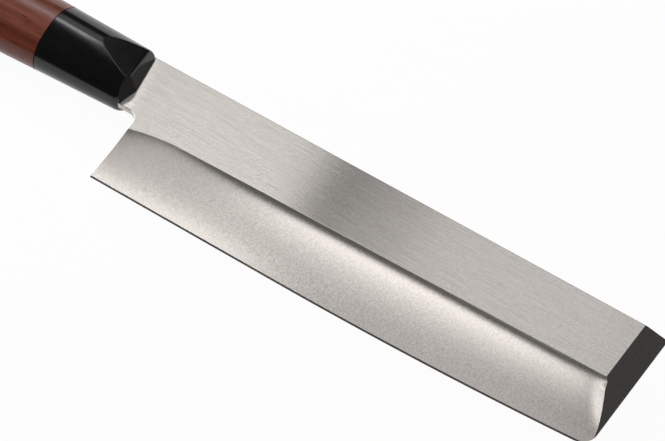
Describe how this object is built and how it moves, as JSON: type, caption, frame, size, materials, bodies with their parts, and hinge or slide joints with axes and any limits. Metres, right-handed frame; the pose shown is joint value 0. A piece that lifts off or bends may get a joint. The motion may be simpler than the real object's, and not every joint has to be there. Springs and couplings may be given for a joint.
{
  "type": "usuba knife",
  "caption": "Right-handed single-bevel vegetable knife with a square tip, hollow-ground bevel, moulded ferrule and D-section wooden grip on a hidden tang.",
  "frame": {"origin": "centre of the box round the knife in plan, level with the lowest point, with the knife lying bevel side up", "axes": "+X from the butt to the tip along the blade, +Y from the cutting edge to the spine, +Z out of the bevelled right face"},
  "size_m": [0.299, 0.0468, 0.021],
  "materials": {
    "blade_steel": "bare stainless: lengthwise brush on the flat, satin cross-grind on the bevel",
    "ferrule_black": "smooth moulded black, half gloss",
    "grip_wood": "dark red-brown laminated wood, resin filled, satin, grain along the handle",
    "bedding_resin": "cast amber resin, matt, hidden inside the handle"
  },
  "bodies": {
    "root": {"blade": "blade_steel", "ferrule": "ferrule_black", "grip": "grip_wood", "tang_bedding": "bedding_resin"}
  },
  "joints": []
}
